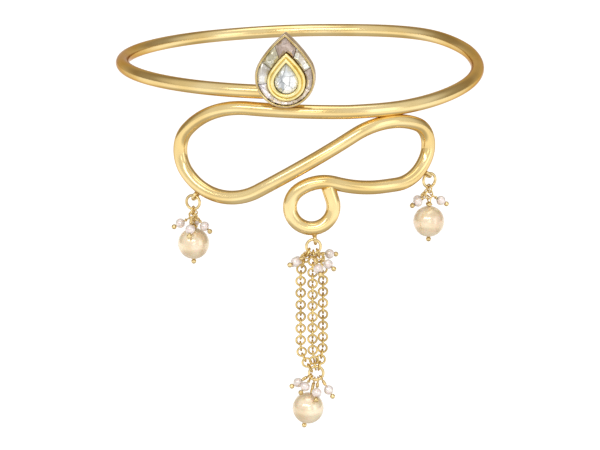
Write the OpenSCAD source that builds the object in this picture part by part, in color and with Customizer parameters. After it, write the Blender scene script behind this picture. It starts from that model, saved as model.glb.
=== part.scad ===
// Bajuband armlet: an open hoop of round wire that ends in a looping scroll,
// with a pear-shaped stone setting, two pearl drops and a chain tassel.
// Millimetres. The origin is the hoop's centre at the height of its upper
// end, +Z up along the arm, -Y out through the stone setting.

/* [Hoop and scroll] */
// Outer width of the hoop round the arm
hoop_w = 92; // [84:1:104]
// Thickness of the round wire
wire_d = 3.3; // [2.8:0.1:3.8]
// Height that the hoop's front run lies below its upper end
run_drop = 4.9; // [4.6:0.1:6.5]
// Width of the scroll, measured round the arm
scroll_w = 64.8; // [58:0.4:72]
// How far soldered wires sink into each other
solder_bite = 0.25; // [0.15:0.05:0.4]

/* [Stone setting] */
// Width of the pear-shaped setting
setting_w = 13.9; // [13:0.1:15.5]
// Height of the pear-shaped setting
setting_h = 17.2; // [16:0.1:19]
// How straight the pear's sides run up to its tip: 0 is round, 1 is straight
side_taper = 0.8; // [0.4:0.05:0.9]
// Thickness of the setting's back plate
plate_t = 0.9; // [0.6:0.1:1.4]
// Height of the rim above the back plate
rim_h = 2.4; // [1.8:0.1:3]
// Thickness of the rim round the border stones
rim_w = 0.7; // [0.5:0.1:1]
// Room for the border stones on each side of the gold collar
border_w = 1.85; // [1.6:0.05:2.2]
// Room for the border stones above and below the collar, together
border_h = 4.7; // [4.2:0.1:5.2]
// Width of the collar's gold, from its outside to the stone
collar_band = 1.65; // [1.3:0.05:2]
// Height that the collar stands above the rim
collar_rise = 1; // [0.4:0.1:1.6]
// Gap round each set stone
stone_gap = 0.1; // [0.06:0.02:0.16]

/* [Side drops] */
// Outer width of the soldered eyes under the wire
eye_d = 2.7; // [2.6:0.1:3.2]
// Wire thickness of the soldered eyes
eye_wire = 0.7; // [0.55:0.05:0.8]
// Outer width of the jump rings
ring_d = 4; // [3.8:0.1:4.6]
// Wire thickness of the jump rings
ring_wire = 0.65; // [0.55:0.05:0.7]
// Diameter of the large pearls
pearl_d = 7.5; // [6.6:0.1:8]
// Distance from a jump ring's centre to its large pearl's centre
pearl_drop = 10.1; // [9.9:0.1:12]
// Diameter of the seed pearls
seed_d = 2.3; // [2:0.1:2.4]
// Wire thickness of the headpins
pin_wire = 0.32; // [0.28:0.02:0.36]
// Outer width of the headpins' loops
loop_d = 1.7; // [1.65:0.05:1.9]
// Diameter of the ball at a headpin's end
ball_d = 1.2; // [0.9:0.1:1.3]
// Width of the wire coil above a large pearl
coil_d = 1.8; // [1.2:0.1:2]

/* [Chain tassel] */
// Distance between the centres of the tassel's upper and lower rings
tassel_l = 31.2; // [24:0.2:38]
// Distance from the tassel's middle to its left strand
tassel_w = 3; // [2.8:0.1:3.6]
// Depth between the tassel's front and back strands
tassel_t = 1.8; // [1.6:0.1:2.2]
// Distance that the lower ring hangs to the right of the upper ring
tassel_sway = 0.7; // [0:0.1:1]
// Distance from the lower ring's centre to the tassel's pearl's centre
tassel_pearl_drop = 8.9; // [8.8:0.1:11]
// Outer width of a chain link
link_d = 2.4; // [2.3:0.05:2.5]
// Wire thickness of a chain link
link_wire = 0.38; // [0.34:0.02:0.42]
// Smallest gap between wires that hang in each other
hang_gap = 0.11; // [0.1:0.01:0.14]

/* [Hidden] */

gold = [0.86, 0.66, 0.26];
bright_gold = [0.95, 0.78, 0.3];
polki = [0.85, 0.8, 0.75];
clear_stone = [0.93, 0.95, 0.96];
golden_pearl = [0.92, 0.78, 0.56];
white_pearl = [0.93, 0.88, 0.82];

wire_r = wire_d / 2;
arm_r = (hoop_w - wire_d) / 2;
wire_sides = 16;
// Longest step along a wire, and largest turn between two of its rings
run_step = 5.5;
turn_step = 15;

// Columns of a small table
DEG = 0;
RISE = 1;
// Height of the hoop round the arm: degrees from the front, going left, and
// the height as a share of run_drop
hoop_rise = [
    [-4, 0], [60, 0], [150, 0], [190, 0.14], [228, 0.34], [252, 0.1], [270, -0.22],
    [298, -0.64], [325, -0.97], [345, -1], [400, -1]];
// The hoop's upper end hides behind the setting, and the scroll starts where
// the hoop's front run comes back under it
end_deg = -1.5;
scroll_start = 0.181 * scroll_w;

// The bender's chart of the scroll. Columns: straight run and bend radius as
// shares of scroll_w, and the turn in degrees, to the left if positive. The
// last row is the curl's tail, which runs up into the wire above it.
RUN = 0;
RADIUS = 1;
TURN = 2;
start_heading = 178;
DIAGONAL = 3;
CURL = 8;
scroll_chart = [
    [0.369, 0.339, 48],
    [0, 0.113, 87],
    [0, 0.236, 77],
    [0, 0.3, -53],
    [0, 0.092, -96],
    [0, 0.161, -60],
    [0.062, 0.582, -18],
    [0, 0.149, 53],
    [0, 0.079, 252],
    [0.035, 0.3, 4]];

// Where the eyes sit: [row of the bender's chart, share of that bend's turn]
left_eye_at = [2, 0.24];
right_eye_at = [5, 0.25];
tassel_eye_at = [8, 0.5936];

function unit(v) = v / norm(v);
function total(v, i = 0) = i < len(v) ? v[i] + total(v, i + 1) : 0;
function arm_deg(s) = s / arm_r * 180 / PI;
function on_arm(p) = [arm_r * sin(arm_deg(p[0])), -arm_r * cos(arm_deg(p[0])), p[1]];
// A smooth curve through the rows of a table
function row_at(x, rows, i = 0) = x <= rows[i + 1][DEG] || i == len(rows) - 2 ? i : row_at(x, rows, i + 1);
function slope(rows, i) =
    let (a = rows[max(i - 1, 0)], b = rows[min(i + 1, len(rows) - 1)]) (b[RISE] - a[RISE]) / (b[DEG] - a[DEG]);
function smooth(x, rows) =
    let (i = row_at(x, rows), a = rows[i], b = rows[i + 1], w = b[DEG] - a[DEG], u = (x - a[DEG]) / w)
    a[RISE] * (1 + 2 * u) * pow(1 - u, 2) + slope(rows, i) * w * u * pow(1 - u, 2)
        + b[RISE] * u * u * (3 - 2 * u) + slope(rows, i + 1) * w * u * u * (u - 1);
function hoop_z(deg) = run_drop * smooth(deg, hoop_rise);

// The diagonal is as long as it takes for the right bend to touch the hoop
diagonal_heading = start_heading + total([for (i = [0 : 2]) scroll_chart[i][TURN]]) - 360;
function step_end(p, run, radius, turn) =
    let (h = p[2], q = [p[0] + run * cos(h), p[1] + run * sin(h)], side = sign(turn))
    [q[0] + side * radius * (sin(h + turn) - sin(h)),
        q[1] - side * radius * (cos(h + turn) - cos(h)), h + turn];
function row_start(i) =
    i == 0 ? [scroll_start, -run_drop, start_heading]
        : step_end(row_start(i - 1), row_run(i - 1), row_radius(i - 1), scroll_chart[i - 1][TURN]);
function row_radius(i) = scroll_chart[i][RADIUS] * scroll_w;
function row_run(i) =
    i != DIAGONAL ? scroll_chart[i][RUN] * scroll_w
        : (-run_drop - wire_d + solder_bite - row_start(i)[1]
            - row_radius(i) * (1 - cos(diagonal_heading))) / sin(diagonal_heading);
// Point and heading at a share of a row's bend
function bend_at(i, share) =
    step_end(row_start(i), row_run(i), row_radius(i), scroll_chart[i][TURN] * share);

function row_points(i) =
    let (p = row_start(i), run = row_run(i), turn = scroll_chart[i][TURN],
        runs = ceil(run / run_step), turns = ceil(abs(turn) / turn_step))
    concat(
        run == 0 ? [] : [for (k = [1 : runs]) let (q = step_end(p, run * k / runs, 0, 0)) [q[0], q[1]]],
        [for (k = [1 : turns]) let (q = bend_at(i, k / turns)) [q[0], q[1]]]);
hoop_end_deg = 360 - arm_deg(scroll_start);
hoop_steps = ceil((hoop_end_deg - end_deg) / 5);
hoop_points = [for (k = [0 : hoop_steps])
    let (a = end_deg + (hoop_end_deg - end_deg) * k / hoop_steps) [-a * PI / 180 * arm_r, hoop_z(a)]];
function rows_points(first, last) = [for (i = [first : last]) each row_points(i)];
wire_points = concat(hoop_points, rows_points(0, len(scroll_chart) - 1));
left_end = len(hoop_points) + len(rows_points(0, DIAGONAL - 1)) - 1;
curl_start = left_end + len(rows_points(DIAGONAL, CURL - 1));

// A tube through the wire's points from one index to another
module wire_span(first, last) {
    pts = [for (p = wire_points) on_arm(p)];
    ends = len(pts) - 1;
    rings = [for (i = [first : last])
        let (t = unit(pts[min(i + 1, ends)] - pts[max(i - 1, 0)]),
            b = unit(cross(t, [pts[i][0], pts[i][1], 0])), n = cross(b, t))
        [for (k = [0 : wire_sides - 1]) pts[i] + wire_r * (n * cos(360 * k / wire_sides)
            + b * sin(360 * k / wire_sides))]];
    count = last - first;
    polyhedron(
        points = [for (ring = rings) each ring],
        faces = concat(
            [[for (k = [0 : wire_sides - 1]) k]],
            [for (i = [0 : count - 1], k = [0 : wire_sides - 1])
                let (a = i * wire_sides + k, b = i * wire_sides + (k + 1) % wire_sides)
                each [[a, a + wire_sides, b], [b, a + wire_sides, b + wire_sides]]],
            [[for (k = [wire_sides - 1 : -1 : 0]) count * wire_sides + k]]),
        convexity = 8);
}

// Places children where the wire lies against the arm, with -Y outwards
module arm_place(p) {
    translate(on_arm(p)) rotate([0, 0, arm_deg(p[0])]) children();
}

module ring_of(outer, wire, sides = 48) {
    rotate_extrude($fn = sides) translate([(outer - wire) / 2, 0]) circle(d = wire, $fn = sides);
}

// A smooth bead of solder between two places
module solder(a, b, ra, rb) {
    hull() {
        translate(a) sphere(r = ra, $fn = 14);
        translate(b) sphere(r = rb, $fn = 14);
    }
}

// Eyes: outward is away from the bend's centre, in degrees from straight down
eye_r = (eye_d - eye_wire) / 2;
ring_r = (ring_d - ring_wire) / 2;
eye_reach = wire_r + eye_r + eye_wire / 2 - solder_bite;
function eye_out(at) =
    let (h = bend_at(at[0], at[1])[2], side = sign(scroll_chart[at[0]][TURN]))
    side > 0 ? h : h + 180;
function turned(v, a) = [v[0] * cos(a) - v[1] * sin(a), v[0] * sin(a) + v[1] * cos(a), v[2]];
function eye_centre(at) =
    let (p = bend_at(at[0], at[1]), o = eye_out(at))
    on_arm(p) + turned([sin(o), 0, -cos(o)] * eye_reach, arm_deg(p[0]));

module eye(at) {
    p = bend_at(at[0], at[1]);
    arm_place(p) rotate([0, -eye_out(at), 0]) {
        translate([0, 0, -eye_reach]) rotate([0, 90, 0]) rotate_extrude($fn = 20)
            translate([eye_r, 0]) circle(d = eye_wire, $fn = 10);
        solder([0, -eye_wire * 0.4, -wire_r * 0.9], [0, eye_wire * 0.4, -wire_r * 0.9],
            eye_wire * 0.75, eye_wire * 0.75);
    }
}

// Pear outlines: a round foot and two longer arcs that meet at the tip. The
// origin is the foot's centre, and an inset keeps the arcs' centres.
function side_deg(foot_r, tip) = asin(side_taper * foot_r / tip);
function side_r(foot_r, tip) =
    (tip * tip + foot_r * foot_r * (1 - 2 * side_taper)) / (2 * foot_r * (1 - side_taper));
// Centre of the right arc, and of the left one with side -1
function side_centre(foot_r, tip, side = 1) =
    (foot_r - side_r(foot_r, tip)) * [side * cos(side_deg(foot_r, tip)), sin(side_deg(foot_r, tip))];
// Height of the tip of an inset outline
function pear_tip(foot_r, tip, inset) =
    let (c = side_centre(foot_r, tip)) c[1] + sqrt(pow(side_r(foot_r, tip) - inset, 2) - c[0] * c[0]);
module pear(foot_r, tip, inset = 0) {
    circle(r = foot_r - inset, $fn = 64);
    intersection() {
        translate(side_centre(foot_r, tip)) circle(r = side_r(foot_r, tip) - inset, $fn = 160);
        translate(side_centre(foot_r, tip, -1)) circle(r = side_r(foot_r, tip) - inset, $fn = 160);
        translate([-foot_r, (foot_r - inset) * sin(side_deg(foot_r, tip))]) square([2 * foot_r, tip]);
    }
}
// Distance from a place inside a circle to the circle, in a direction
function to_circle(from, dir, centre, r) =
    let (v = from - centre, b = v * dir) -b + sqrt(b * b - v * v + r * r);
// The point where a ray from inside meets the pear's outline
function pear_point(foot_r, tip, inset, from, deg) =
    let (dir = [cos(deg), sin(deg)], r = side_r(foot_r, tip) - inset,
        low = to_circle(from, dir, [0, 0], foot_r - inset))
    from + dir * (from[1] + low * dir[1] <= (foot_r - inset) * sin(side_deg(foot_r, tip)) ? low
        : min(to_circle(from, dir, side_centre(foot_r, tip), r),
            to_circle(from, dir, side_centre(foot_r, tip, -1), r)));

collar_w = setting_w - 2 * (rim_w + border_w);
collar_l = setting_h - 2 * rim_w - border_h;
setting_foot = setting_w / 2;
setting_tip = setting_h - setting_foot;
collar_foot = collar_w / 2;
collar_tip = collar_l - collar_foot;
// The setting's place round the arm, and the height of its lowest point
setting_s = -0.068 * hoop_w / 2;
setting_low = -run_drop + wire_r + 0.45;
// The collar sits a little right of the setting's middle and below it
collar_off = [0.025 * setting_w, -0.063 * setting_w];
seat = plate_t + stone_gap;
stone_top = plate_t + rim_h - 0.35;
collar_top = plate_t + rim_h + collar_rise;

// Local Z is outwards from the arm, local Y is up
module setting_place() {
    arm_place([setting_s, setting_low + setting_foot])
        translate([0, solder_bite - wire_r, 0]) rotate([90, 0, 0]) children();
}

module setting_cup() {
    linear_extrude(plate_t) pear(setting_foot, setting_tip);
    linear_extrude(plate_t + rim_h) difference() {
        pear(setting_foot, setting_tip);
        pear(setting_foot, setting_tip, rim_w);
    }
}

module armlet_wire() color(gold) {
    wire_span(0, left_end);
    wire_span(left_end, curl_start);
    wire_span(curl_start, len(wire_points) - 1);
    eye(left_eye_at);
    eye(right_eye_at);
    eye(tassel_eye_at);
    setting_place() setting_cup();
    // Solder where the hoop's upper end meets the setting's back
    for (x = [-0.3, -0.15, 0.02]) {
        p = [setting_s + x * setting_w, 0];
        arm_place(p) solder([0, 0, 0], [0, -wire_r * 0.75, 0], wire_r * 0.7, wire_r * 0.6);
    }
    // Solder where the right bend touches the hoop
    top = bend_at(DIAGONAL, diagonal_heading / -scroll_chart[DIAGONAL][TURN]);
    arm_place([top[0], (top[1] - run_drop) / 2]) for (x = [-0.5, 0.5])
        solder([x * wire_r, 0, -wire_r * 0.4], [x * wire_r, 0, wire_r * 0.4], wire_r * 0.3, wire_r * 0.3);
}

module centre_collar() color(bright_gold) setting_place() translate(collar_off) {
    difference() {
        union() {
            translate([0, 0, seat]) linear_extrude(collar_top - 0.6 - seat) pear(collar_foot, collar_tip);
            translate([0, 0, seat]) linear_extrude(collar_top - seat)
                pear(collar_foot, collar_tip, collar_band * 0.5);
        }
        translate([0, 0, seat + 0.4]) linear_extrude(collar_top) pear(collar_foot, collar_tip, collar_band);
    }
}

// A stone lofted through rings of points, each as [points, height]
module cut_stone(rings) {
    n = len(rings[0][0]);
    levels = len(rings) - 1;
    polyhedron(
        points = [for (ring = rings, p = ring[0]) [p[0], p[1], ring[1]]],
        faces = concat(
            [[for (k = [n - 1 : -1 : 0]) k]],
            [for (i = [0 : levels - 1], k = [0 : n - 1])
                let (a = i * n + k, b = i * n + (k + 1) % n) each [[a, b, a + n], [b, b + n, a + n]]],
            [[for (k = [0 : n - 1]) levels * n + k]]));
}

// Pear-cut centre stone: pavilion, girdle, crown facets and table
stone_facets = 14;
function stone_ring(inset) = [for (k = [0 : stone_facets - 1])
    pear_point(collar_foot, collar_tip, collar_band + stone_gap + inset, [0, 0], 90 - 360 * k / stone_facets)];
module centre_stone() color(clear_stone) setting_place() translate(collar_off)
    cut_stone([
        [stone_ring(0.9), seat + 0.4 + stone_gap],
        [stone_ring(0), collar_top - 1.1],
        [stone_ring(0), collar_top - 0.8],
        [stone_ring(0.95), collar_top - 0.15]]);

// Border stones: the degrees of the cuts between them, round the collar
border_cuts = [30, 74, 108, 142, 187, 233, 287, 340];
// Point in the border at an angle, from the collar (0) to the rim (1)
function border_point(deg, share) =
    let (inner = collar_off + pear_point(collar_foot, collar_tip, -stone_gap * 1.8, [0, 0], deg),
        outer = pear_point(setting_foot, setting_tip, rim_w + stone_gap, collar_off, deg))
    inner + (outer - inner) * share;
// The tip of the border lies straight up from the setting's centre
border_tip_deg = atan2(pear_tip(setting_foot, setting_tip, rim_w + stone_gap) - collar_off[1], -collar_off[0]);
module border_stone(i) {
    a = border_cuts[i];
    b = border_cuts[(i + 1) % len(border_cuts)] + (i == len(border_cuts) - 1 ? 360 : 0);
    mid = a < border_tip_deg && b > border_tip_deg ? border_tip_deg : (a + b) / 2;
    // Middle of the inner edge, which is the collar's tip where the stone lies over it
    inner_mid = a < 90 && b > 90 ? 90 : (a + b) / 2;
    // Half of the gap between two stones, as degrees at the collar and at the rim
    near = stone_gap / 2 / norm(border_point(a, 0) - collar_off) * 180 / PI;
    far = stone_gap / 2 / norm(border_point(a, 1) - collar_off) * 180 / PI;
    // Points round the stone: degrees from each cut, and the share outwards
    function ring(trim, low, high) = concat(
        [for (t = [a + near + trim, (a + inner_mid) / 2, inner_mid, (b + inner_mid) / 2, b - near - trim])
            border_point(t, low)],
        [for (t = [b - far - trim, (b + mid) / 2, mid, (a + mid) / 2, a + far + trim])
            border_point(t, high)]);
    color(polki) setting_place() cut_stone([
        [ring(0, 0, 1), seat],
        [ring(0, 0, 1), stone_top - 0.45],
        [ring((b - a) * 0.13, 0.24, 0.76), stone_top]]);
}

// A headpin hanging on a ring's wire. Local origin: the centre of that wire.
// The pin runs down -Z, and its loop goes round the wire, which lies along X.
loop_r = (loop_d - pin_wire) / 2;
wrap_l = 0.6;
wrap_d = pin_wire * 2.6;
function hang(inner_r, inner_wire, outer_wire) = inner_r - inner_wire / 2 - outer_wire / 2 - hang_gap;
// A pin's loop hangs half of its slack below the wire that it goes round
function pin_hang(wire) = hang(loop_r, pin_wire, wire) / 2;
function seed_reach(wire) = pin_hang(wire) + loop_r + wrap_l + seed_d / 2 + hang_gap;
bore_d = pin_wire + 2 * hang_gap;
module pin(wire, reach, bead_d, wrap_d) {
    drop = pin_hang(wire);
    end = reach + bead_d / 2 + hang_gap / 2 + ball_d / 2;
    wrap_top = drop + loop_r;
    translate([0, 0, -drop]) rotate([0, 90, 0]) ring_of(loop_d, pin_wire);
    translate([0, 0, -end]) cylinder(d = pin_wire, h = end - wrap_top, $fn = 32);
    translate([0, 0, -reach + bead_d / 2 + hang_gap])
        cylinder(d = wrap_d, h = reach - bead_d / 2 - hang_gap - wrap_top, $fn = 32);
    translate([0, 0, -end]) sphere(d = ball_d, $fn = 48);
}
module bead(d, reach) {
    translate([0, 0, -reach]) difference() {
        sphere(d = d, $fn = 96);
        cylinder(d = bore_d, h = d * 1.2, center = true, $fn = 32);
    }
}
// What pins hang on. Columns: centre, lean to the right in degrees, whether
// it is edge-on to the front, its radius and its wire
PLACE = 0;
TILT = 1;
EDGE_ON = 2;
ROUND = 3;
WIRE = 4;
// Columns of the seed pearl tables: number of the holder, place round it in
// degrees from its foot (to the right, or to the front if edge-on), the pin's
// lean to the right and to the front, and extra length as a share of seed_d
HOLDER = 0;
AT = 1;
LEAN = 2;
FRONT = 3;
EXTRA = 4;
function leaning(v, a) = [v[0] * cos(a) - v[2] * sin(a), v[1], v[0] * sin(a) + v[2] * cos(a)];
function holder_point(h, at) = h[PLACE] + h[ROUND]
    * leaning(h[EDGE_ON] ? [0, -sin(at), -cos(at)] : [sin(at), 0, -cos(at)], h[TILT]);
function holder_along(h, at) = leaning(h[EDGE_ON] ? [0, -cos(at), sin(at)] : [cos(at), 0, sin(at)], h[TILT]);
// Turns a pin so that -Z is its lean and X lies along the holder's wire
module on_holder(h, at, lean, front) {
    up = -[sin(lean) * cos(front), -sin(front), -cos(lean) * cos(front)];
    along = holder_along(h, at);
    x = unit(along - up * (along * up));
    y = cross(up, x);
    o = holder_point(h, at);
    multmatrix([[x[0], y[0], up[0], o[0]], [x[1], y[1], up[1], o[1]], [x[2], y[2], up[2], o[2]]]) children();
}
function reach_of(h, s) = seed_reach(h[WIRE]) + s[EXTRA] * seed_d;
module seed_pins(drop, holders, seeds) drop_place(drop) color(gold)
    for (s = seeds) let (h = holders[s[HOLDER]]) on_holder(h, s[AT], s[LEAN], s[FRONT])
        pin(h[WIRE], reach_of(h, s), seed_d, wrap_d);
module seed(drop, holders, s) drop_place(drop) color(white_pearl)
    let (h = holders[s[HOLDER]]) on_holder(h, s[AT], s[LEAN], s[FRONT]) bead(seed_d, reach_of(h, s));

// Side drops. Columns: eye, lean of the jump ring to the side in degrees, and
// how far the drop turns with the arm, as a share
left_drop = [left_eye_at, -22, 0.6];
right_drop = [right_eye_at, 25, 0.75];
tassel_drop = [tassel_eye_at, -12, 0.5];
function drop_deg(drop) = arm_deg(bend_at(drop[0][0], drop[0][1])[0]) * drop[2];
ring_hang = hang(eye_r, eye_wire, ring_wire) / 4 + ring_r;
module drop_place(drop) {
    translate(eye_centre(drop[0])) rotate([0, 0, drop_deg(drop)])
        translate([ring_hang * sin(drop[1]), 0, -ring_hang * cos(drop[1])]) children();
}
module jump_ring() {
    color(gold) rotate([90, 0, 0]) ring_of(ring_d, ring_wire);
}
// The two links between a jump ring and its pearl
link_r = (link_d - link_wire) / 2;
first_link = ring_r + hang(link_r, link_wire, ring_wire);
link_pitch = link_d - 2 * link_wire - hang_gap;
second_link = first_link + link_pitch;
module drop_links(drop) drop_place(drop) color(gold) {
    translate([0, 0, -first_link]) rotate([0, 90, 0]) ring_of(link_d, link_wire);
    translate([0, 0, -second_link]) rotate([90, 0, 0]) ring_of(link_d, link_wire);
}
side_holders = [
    [[0, 0, -second_link], 0, false, link_r, link_wire],
    [[0, 0, -first_link], 0, true, link_r, link_wire]];
left_seeds = [
    [0, -70, -58, 8, 0],
    [0, 70, 52, 8, 0],
    [1, 56, 8, 36, 0.6],
    [1, -60, -14, -36, 0.4]];
right_seeds = [
    [0, -72, -68, 6, 0],
    [0, 70, 58, 6, 0],
    [1, -60, -28, -32, 0.4]];
module side_pearl(drop) drop_place(drop) color(golden_pearl) bead(pearl_d, pearl_drop);
module side_pearl_pin(drop) drop_place(drop) color(gold) on_holder(side_holders[0], 0, 0, 0)
    pin(link_wire, pearl_drop - second_link - link_r, pearl_d, coil_d);

// Tassel: strands between an upper and a lower ring. Columns: place on the
// upper and on the lower ring in degrees, and the strand's own place across
// and behind as shares of tassel_w and tassel_t
UPPER = 0;
LOWER = 1;
ACROSS = 2;
BEHIND = 3;
strands = [
    [-45, -52, -1, 0.2],
    [-2, -8, -0.08, -0.5],
    [36, 24, 0.77, 0.45]];
// Heights over which a strand leaves its second link for its own place, to
// the side and to the back
side_flare = 4.6;
back_flare = 2.2;
lower_ring = [tassel_sway, 0, -tassel_l];
// A strand's first link hangs on the ring, and the second one in line with it
play = hang(link_r, link_wire, ring_wire) * 0.8;
first_two = play + link_pitch;
function side_lean(s, at, ring_x) =
    atan(2 * (s[ACROSS] * tassel_w - ring_x - ring_r * sin(at)) / (side_flare + 2 * first_two));
function back_lean(s) = atan(2 * s[BEHIND] * tassel_t / (back_flare + 2 * first_two));
// Centre of the first (0) or second (1) link, below a ring at ring_x
function end_link(s, at, ring_x, k) =
    let (side = side_lean(s, at, ring_x), back = back_lean(s))
    [ring_x + ring_r * sin(at), 0, -ring_r * cos(at)]
        + (play + k * link_pitch) * [sin(side) * cos(back), sin(back), -cos(side) * cos(back)];
function upper_end(s, k) = end_link(s, s[UPPER], 0, k);
function lower_end(s, k) =
    let (p = end_link(s, s[LOWER], tassel_sway, k)) [p[0], p[1], -tassel_l - p[2]];
function flared(from, to, along, flare) = from + (to - from) * (1 - pow(1 - min(along / flare, 1), 2));
// Point of a strand between its second link and its last but one
function strand_point(s, u) =
    let (a = upper_end(s, 1), b = lower_end(s, 1), z = a[2] + (b[2] - a[2]) * u,
        from = u < 0.5 ? a : b, along = min(a[2] - z, z - b[2]))
    [flared(from[0], s[ACROSS] * tassel_w, along, side_flare),
        flared(from[1], s[BEHIND] * tassel_t, along, back_flare), z];
strand_steps = 60;
function strand_lengths(s) = [for (k = 0, a = 0; k <= strand_steps;
    a = a + norm(strand_point(s, (k + 1) / strand_steps) - strand_point(s, k / strand_steps)), k = k + 1)
    [a, k / strand_steps]];
function strand_centres(s) =
    let (lengths = strand_lengths(s), whole = lengths[strand_steps][0],
        gaps = 2 * ceil(whole / (2 * link_pitch)))
    concat([upper_end(s, 0)],
        [for (k = [0 : gaps]) strand_point(s, lookup(whole * k / gaps, lengths))],
        [lower_end(s, 0)]);
module strand(s) drop_place(tassel_drop) color(gold) {
    centres = strand_centres(s);
    last = len(centres) - 1;
    for (k = [0 : last]) {
        d = unit(centres[min(k + 1, last)] - centres[max(k - 1, 0)]);
        translate(centres[k]) rotate([0, -atan2(d[0], -d[2]), 0]) rotate([asin(d[1]), 0, 0])
            rotate(k % 2 == 0 ? [0, 90, 0] : [90, 0, 0]) ring_of(link_d, link_wire, 32);
    }
}
top_holders = [for (s = strands) [upper_end(s, 0), side_lean(s, s[UPPER], 0), true, link_r, link_wire]];
top_seeds = [
    [0, 48, -72, 36, 0.38],
    [2, -70, 79, -28, 0.2],
    [1, 85, 24, 52, 0.6],
    [2, 46, 54, 28, 0.1],
    [0, -58, -42, -34, 0.5]];
bottom_holders = [[lower_ring, 0, false, ring_r, ring_wire]];
bottom_seeds = [
    [0, -70, -55, -10, 0.35],
    [0, -46, -40, 26, 0],
    [0, 14, -8, 38, 0.33],
    [0, 44, 32, 10, 0.35]];
// The tassel's pearl hangs to the left, in degrees round the lower ring
tassel_pearl_at = -15;
tassel_pearl_lean = -12;
module tassel_pearl_place() {
    drop_place(tassel_drop) on_holder(bottom_holders[0], tassel_pearl_at, tassel_pearl_lean, 0) children();
}

armlet_wire();
centre_collar();
centre_stone();
border_stone(0);  // border_stone_1
border_stone(1);  // border_stone_2
border_stone(2);  // border_stone_3
border_stone(3);  // border_stone_4
border_stone(4);  // border_stone_5
border_stone(5);  // border_stone_6
border_stone(6);  // border_stone_7
border_stone(7);  // border_stone_8
drop_place(left_drop) jump_ring();  // left_ring
drop_links(left_drop);  // left_links
side_pearl(left_drop);  // left_pearl
side_pearl_pin(left_drop);  // left_pearl_pin
seed_pins(left_drop, side_holders, left_seeds);  // left_seed_pins
seed(left_drop, side_holders, left_seeds[0]);  // left_seed_1
seed(left_drop, side_holders, left_seeds[1]);  // left_seed_2
seed(left_drop, side_holders, left_seeds[2]);  // left_seed_3
seed(left_drop, side_holders, left_seeds[3]);  // left_seed_4
drop_place(right_drop) jump_ring();  // right_ring
drop_links(right_drop);  // right_links
side_pearl(right_drop);  // right_pearl
side_pearl_pin(right_drop);  // right_pearl_pin
seed_pins(right_drop, side_holders, right_seeds);  // right_seed_pins
seed(right_drop, side_holders, right_seeds[0]);  // right_seed_1
seed(right_drop, side_holders, right_seeds[1]);  // right_seed_2
seed(right_drop, side_holders, right_seeds[2]);  // right_seed_3
drop_place(tassel_drop) jump_ring();  // tassel_top_ring
drop_place(tassel_drop) translate(lower_ring) jump_ring();  // tassel_bottom_ring
tassel_pearl_place()  // tassel_pearl
    color(golden_pearl) bead(pearl_d, tassel_pearl_drop - ring_r);
tassel_pearl_place()  // tassel_pearl_pin
    color(gold) pin(ring_wire, tassel_pearl_drop - ring_r, pearl_d, wrap_d);
strand(strands[0]);  // chain_1
strand(strands[1]);  // chain_2
strand(strands[2]);  // chain_3
seed_pins(tassel_drop, top_holders, top_seeds);  // top_seed_pins
seed(tassel_drop, top_holders, top_seeds[0]);  // top_seed_1
seed(tassel_drop, top_holders, top_seeds[1]);  // top_seed_2
seed(tassel_drop, top_holders, top_seeds[2]);  // top_seed_3
seed(tassel_drop, top_holders, top_seeds[3]);  // top_seed_4
seed(tassel_drop, top_holders, top_seeds[4]);  // top_seed_5
seed_pins(tassel_drop, bottom_holders, bottom_seeds);  // bottom_seed_pins
seed(tassel_drop, bottom_holders, bottom_seeds[0]);  // bottom_seed_1
seed(tassel_drop, bottom_holders, bottom_seeds[1]);  // bottom_seed_2
seed(tassel_drop, bottom_holders, bottom_seeds[2]);  // bottom_seed_3
seed(tassel_drop, bottom_holders, bottom_seeds[3]);  // bottom_seed_4
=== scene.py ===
"""Bajuband armlet: polished metal, set stones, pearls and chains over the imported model."""
import bpy
import bmesh
from math import sin, cos, asin, atan, atan2, sqrt, pi, radians, degrees, ceil
from mathutils import Vector, Matrix, noise


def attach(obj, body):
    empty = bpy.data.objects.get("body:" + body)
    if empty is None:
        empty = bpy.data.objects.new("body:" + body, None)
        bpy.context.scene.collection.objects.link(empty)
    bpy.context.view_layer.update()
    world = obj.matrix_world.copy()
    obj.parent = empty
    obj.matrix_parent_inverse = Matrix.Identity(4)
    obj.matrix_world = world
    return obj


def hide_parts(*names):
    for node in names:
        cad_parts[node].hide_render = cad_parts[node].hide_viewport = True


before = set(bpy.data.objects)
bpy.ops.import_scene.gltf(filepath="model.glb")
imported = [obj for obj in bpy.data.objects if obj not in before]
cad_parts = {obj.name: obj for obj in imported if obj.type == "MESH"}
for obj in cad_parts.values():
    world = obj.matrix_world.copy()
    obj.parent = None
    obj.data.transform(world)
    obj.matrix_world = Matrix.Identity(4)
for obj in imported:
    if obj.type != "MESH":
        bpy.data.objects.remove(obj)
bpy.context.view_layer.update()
MM = 0.001
noise.seed_set(7)  # else each run dents the metal in other places

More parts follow.
